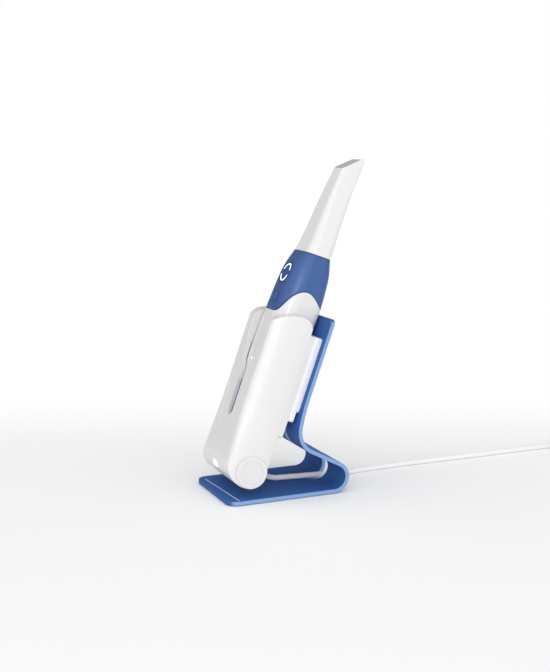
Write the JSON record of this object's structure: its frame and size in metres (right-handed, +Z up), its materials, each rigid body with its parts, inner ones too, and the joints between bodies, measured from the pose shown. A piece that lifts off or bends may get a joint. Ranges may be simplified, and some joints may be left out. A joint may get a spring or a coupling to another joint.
{
  "type": "intraoral scanner",
  "caption": "Wireless intraoral scanner with a slip-off tapered tip, standing in a white charging cradle on a bent blue sheet stand, with its charging lead.",
  "frame": {"origin": "centre of the stand's footprint, on the table under the base pad", "axes": "+Z up; -Y towards the front edge of the base and the scanner's keys; +X to the right seen from the front"},
  "size_m": [0.1354, 0.4456, 0.2938],
  "materials": {
    "blue_sheet": "satin powder coat on bent sheet",
    "grey_pad": "matt silicone",
    "white_bracket": "satin moulded",
    "white_shell": "satin gloss moulded",
    "screw_steel": "plain steel button heads",
    "grey_moulding": "fine texture",
    "black_moulding": "plain moulded",
    "gold_contact": "gold plated",
    "green_board": "circuit board lacquer",
    "cable_white": "smooth flexible jacket",
    "plug_steel": "plated steel",
    "handle_white": "smooth gloss",
    "blue_collar": "satin soft coat",
    "ring_white": "clear over white",
    "blue_key": "satin soft coat",
    "battery_wrap": "shrink wrap",
    "led_clear": "frosted light pipe",
    "lens_black": "black anodised barrels",
    "nose_black": "matt black",
    "optical_glass": "polished",
    "tip_white": "smooth, sterilisable",
    "tip_mirror": "front-surface mirror"
  },
  "bodies": {
    "stand": {"stand_plate": "blue_sheet", "base_pad": "grey_pad", "bracket_flange": "white_bracket", "bracket_block": "white_bracket", "cradle_back_cover": "white_shell", "bracket_screws": "screw_steel", "cradle_shell": "white_shell", "cradle_cap_left": "white_shell", "cradle_cap_right": "white_shell", "handle_seat": "grey_moulding", "contact_block": "black_moulding", "charge_board": "green_board", "cable_gland": "cable_white", "cable": "cable_white", "cable_coil": "cable_white", "usb_plug_grip": "cable_white", "usb_plug_shell": "plug_steel", "handle_shell": "handle_white", "handle_end_cap": "handle_white", "charge_pads": "gold_contact", "collar": "blue_collar", "battery_pack": "battery_wrap", "main_board": "green_board", "key_bracket": "black_moulding", "key_switches": "black_moulding", "status_led": "led_clear", "foot_light": "led_clear", "optics_plate": "black_moulding", "camera_module": "lens_black", "light_projector": "lens_black", "nose_tube": "nose_black", "nose_window": "optical_glass"},
    "tip": {"tip_sleeve": "tip_white", "tip_mirror": "tip_mirror"},
    "scan_button": {"scan_key": "blue_key", "ring_light": "ring_white"},
    "power_button": {"power_key": "blue_key"},
    "left_pin": {"contact_pin_left": "gold_contact"},
    "right_pin": {"contact_pin_right": "gold_contact"}
  },
  "joints": [
    {"name": "tip_slide", "type": "slide", "parent": "stand", "child": "tip", "axis": [0, 0.4158, 0.9095], "range_m": [0, 0.075]},
    {"name": "scan_key_press", "type": "slide", "parent": "stand", "child": "scan_button", "axis": [0, 0.9405, -0.3399], "range_m": [0, 0.0005], "stiffness_N_per_m": 600, "springref_m": -0.001},
    {"name": "power_key_press", "type": "slide", "parent": "stand", "child": "power_button", "axis": [0, 0.9405, -0.3399], "range_m": [0, 0.0004], "stiffness_N_per_m": 600, "springref_m": -0.001},
    {"name": "contact_pin_left_press", "type": "slide", "parent": "stand", "child": "left_pin", "axis": [0, -0.3399, -0.9405], "range_m": [0, 0.0008], "stiffness_N_per_m": 300, "springref_m": -0.001},
    {"name": "contact_pin_right_press", "type": "slide", "parent": "stand", "child": "right_pin", "axis": [0, -0.3399, -0.9405], "range_m": [0, 0.0008], "stiffness_N_per_m": 300, "springref_m": -0.001}
  ]
}
